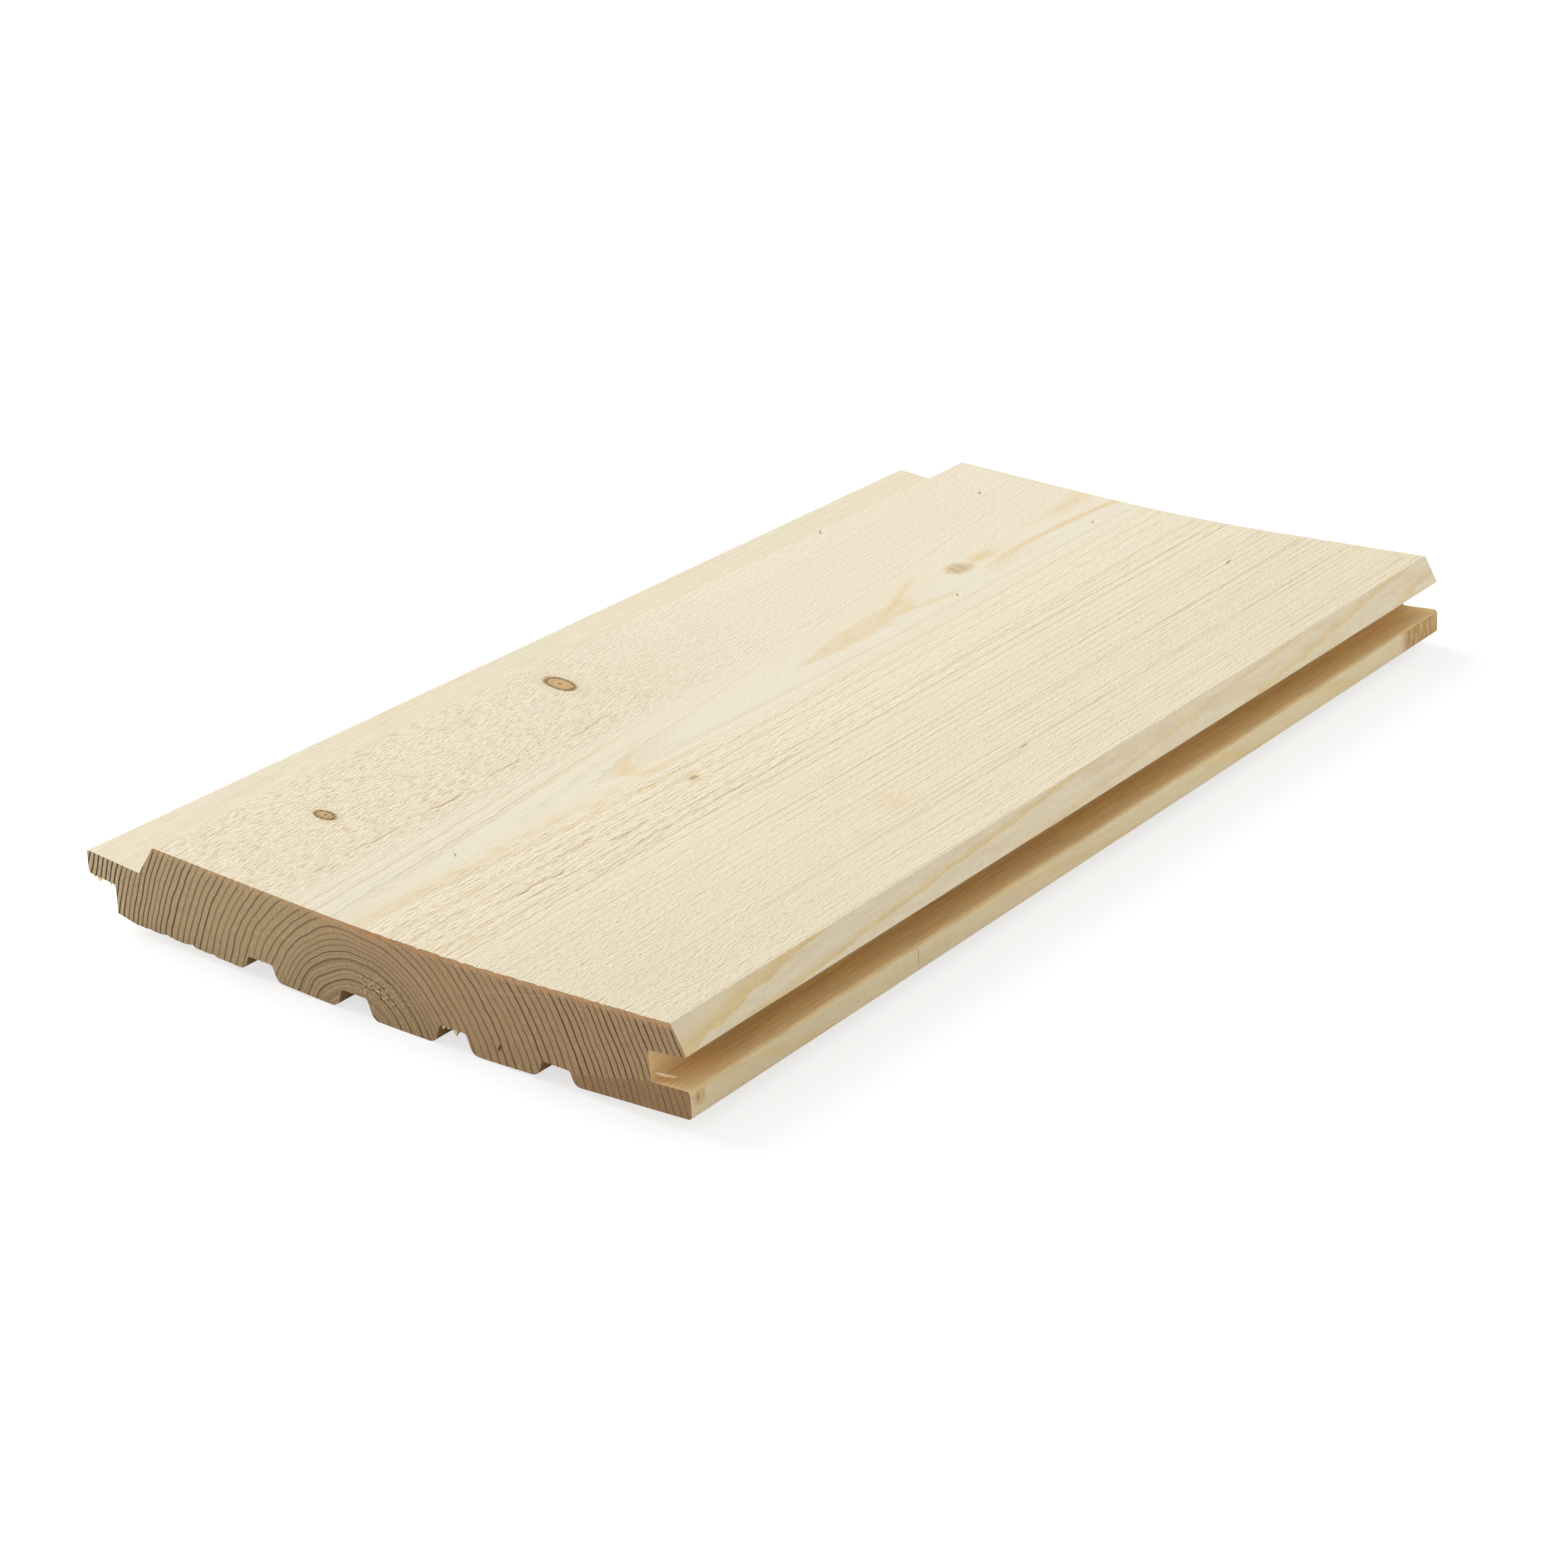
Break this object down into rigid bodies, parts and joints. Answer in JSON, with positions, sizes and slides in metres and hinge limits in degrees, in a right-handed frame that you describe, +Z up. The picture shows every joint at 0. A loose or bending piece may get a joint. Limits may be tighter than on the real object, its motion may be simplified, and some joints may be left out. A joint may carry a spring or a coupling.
{
  "type": "rough sawn tongue and groove cladding board",
  "caption": "Cupped softwood board with a rough sawn face, a tongue along the left edge, a slot along the right edge and flared relief grooves in the back.",
  "frame": {"origin": "middle of the board's length and width, on the level of the lowest line of its back", "axes": "+Y along the board and its grain, +X across it from the tongue to the slotted edge, +Z up out of the rough face"},
  "size_m": [0.146, 0.263, 0.02],
  "materials": {
    "softwood": "bare spruce, rough sawn on the face and planed on the joint edges and back"
  },
  "bodies": {
    "root": {"cladding_board": "softwood"}
  },
  "joints": []
}
